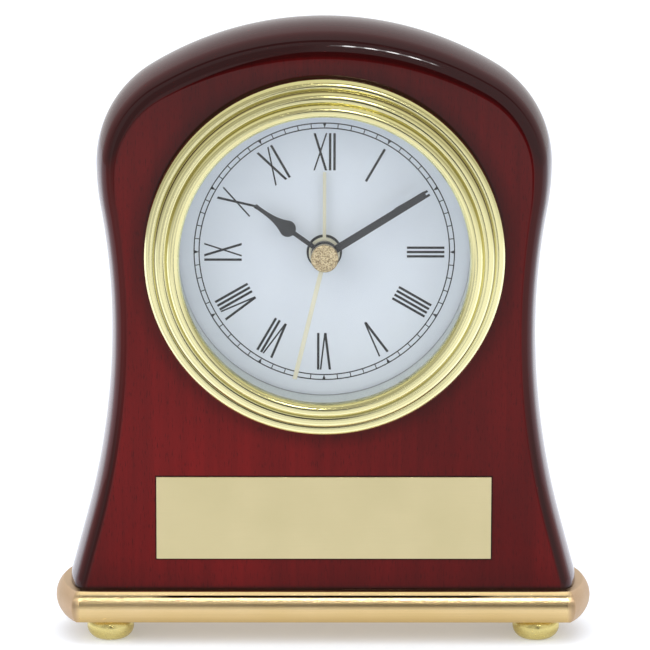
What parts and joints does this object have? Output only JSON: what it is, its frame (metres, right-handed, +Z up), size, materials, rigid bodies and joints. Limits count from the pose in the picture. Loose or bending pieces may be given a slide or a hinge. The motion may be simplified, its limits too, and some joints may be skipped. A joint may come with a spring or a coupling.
{
  "type": "desk clock",
  "caption": "Quartz alarm clock in a waisted, arch-topped lacquered wood block with a stepped brass bezel, on a brass base with bun feet.",
  "frame": {"origin": "on the resting plane, under the middle of the bounding box", "axes": "+Z up, the dial faces -Y, +X to the right as seen from the front"},
  "size_m": [0.1438, 0.0444, 0.1665],
  "materials": {
    "lacquered_wood": "red-brown mahogany under a deep gloss lacquer",
    "base_brass": "warm brass, polished front edge and satin ends",
    "plate_brass": "satin pale gold, finely brushed along its length",
    "bezel_brass": "pale brass, spun and polished",
    "foot_brass": "polished brass",
    "glass": "clear flat glass",
    "reflector_ring": "satin silver",
    "dial_print": "matt silver-white with black print",
    "grey_hand": "satin dark grey",
    "cream_hand": "cream paint",
    "cap_gold": "hammered gold",
    "black_plastic": "fine matt grain",
    "rubber": "matt black rubber",
    "ivory_plastic": "natural ivory plastic",
    "white_plastic": "natural white plastic",
    "grey_plastic": "smooth grey plastic",
    "train_brass": "cut brass",
    "magnet": "dark sintered magnet",
    "stator_steel": "rolled silicon steel",
    "copper_wire": "enamelled copper wire",
    "board_green": "green solder mask",
    "screw_steel": "plated steel",
    "battery_jacket": "gold foil jacket with a black band"
  },
  "bodies": {
    "clock": {"wooden_case": "lacquered_wood", "base_plate": "base_brass", "foot_front_left": "foot_brass", "foot_front_right": "foot_brass", "foot_rear_left": "foot_brass", "foot_rear_right": "foot_brass", "foot_screws": "foot_brass", "case_screws": "screw_steel", "nameplate": "plate_brass", "bezel": "bezel_brass", "lens": "glass", "dial_ring": "reflector_ring", "dial": "dial_print", "rear_housing": "black_plastic", "rubber_band": "rubber", "front_plate": "black_plastic", "middle_plate": "ivory_plastic", "rear_bridge": "ivory_plastic", "bridge_screws": "screw_steel", "housing_screws": "screw_steel", "stator": "stator_steel", "coil_bobbin": "white_plastic", "coil_winding": "copper_wire", "circuit_board": "board_green", "quartz_crystal": "screw_steel", "buzzer": "black_plastic", "battery": "battery_jacket", "contact_plus": "screw_steel", "contact_minus": "screw_steel"},
    "second_train": {"second_wheel": "train_brass", "second_hand": "cream_hand", "hand_cap": "cap_gold"},
    "rotor": {"rotor": "magnet"},
    "intermediate": {"intermediate_wheel": "white_plastic"},
    "third": {"third_wheel": "white_plastic"},
    "centre": {"centre_wheel": "train_brass"},
    "minute_train": {"cannon_pinion": "train_brass", "minute_hand": "grey_hand"},
    "minute_wheel": {"minute_wheel": "white_plastic"},
    "hour_train": {"hour_wheel": "white_plastic", "hour_hand": "grey_hand"},
    "time_setter": {"time_shaft": "white_plastic", "time_knob": "black_plastic"},
    "alarm_train": {"alarm_wheel": "white_plastic", "alarm_hand": "cream_hand"},
    "alarm_setter": {"alarm_shaft": "white_plastic", "alarm_knob": "black_plastic"},
    "switch": {"alarm_switch": "grey_plastic"},
    "door": {"battery_door": "black_plastic"}
  },
  "joints": [
    {"name": "second_spin", "type": "hinge", "parent": "clock", "child": "second_train", "pos_m": [0, -0.0118, 0.1049], "axis": [0, 1, 0], "continuous": true},
    {"name": "rotor_spin", "type": "hinge", "parent": "clock", "child": "rotor", "pos_m": [0.00902, -0.0118, 0.12089], "axis": [0, 1, 0], "continuous": true},
    {"name": "intermediate_spin", "type": "hinge", "parent": "clock", "child": "intermediate", "pos_m": [0.00194, -0.0118, 0.11593], "axis": [0, 1, 0], "continuous": true},
    {"name": "third_spin", "type": "hinge", "parent": "clock", "child": "third", "pos_m": [-0.0106, -0.0118, 0.11102], "axis": [0, 1, 0], "continuous": true},
    {"name": "centre_spin", "type": "hinge", "parent": "clock", "child": "centre", "pos_m": [0, -0.0118, 0.1049], "axis": [0, 1, 0], "continuous": true},
    {"name": "minute_spin", "type": "hinge", "parent": "clock", "child": "minute_train", "pos_m": [0, -0.0118, 0.1049], "axis": [0, 1, 0], "continuous": true},
    {"name": "minute_wheel_spin", "type": "hinge", "parent": "clock", "child": "minute_wheel", "pos_m": [0.01039, -0.0118, 0.1109], "axis": [0, 1, 0], "continuous": true},
    {"name": "hour_spin", "type": "hinge", "parent": "clock", "child": "hour_train", "pos_m": [0, -0.0118, 0.1049], "axis": [0, 1, 0], "continuous": true},
    {"name": "time_set_spin", "type": "hinge", "parent": "clock", "child": "time_setter", "pos_m": [0.02078, -0.0118, 0.1049], "axis": [0, 1, 0], "continuous": true},
    {"name": "alarm_spin", "type": "hinge", "parent": "clock", "child": "alarm_train", "pos_m": [0, -0.0118, 0.1049], "axis": [0, 1, 0], "continuous": true},
    {"name": "alarm_set_spin", "type": "hinge", "parent": "clock", "child": "alarm_setter", "pos_m": [-0.01032, -0.0118, 0.09767], "axis": [0, 1, 0], "continuous": true},
    {"name": "switch_slide", "type": "slide", "parent": "clock", "child": "switch", "axis": [1, 0, 0], "range_m": [0, 0.003]},
    {"name": "door_liftoff", "type": "slide", "parent": "clock", "child": "door", "axis": [0, 1, 0], "range_m": [0, 0.02]}
  ],
  "couplings": [
    {"joint": "rotor_spin", "follows": "second_spin", "ratio": 30},
    {"joint": "intermediate_spin", "follows": "second_spin", "ratio": -6},
    {"joint": "third_spin", "follows": "second_spin", "ratio": -0.13333},
    {"joint": "centre_spin", "follows": "second_spin", "ratio": 0.016667},
    {"joint": "minute_wheel_spin", "follows": "minute_spin", "ratio": -0.33333},
    {"joint": "hour_spin", "follows": "minute_spin", "ratio": 0.083333},
    {"joint": "time_set_spin", "follows": "minute_spin", "ratio": 1},
    {"joint": "alarm_set_spin", "follows": "alarm_spin", "ratio": -3.6667}
  ]
}
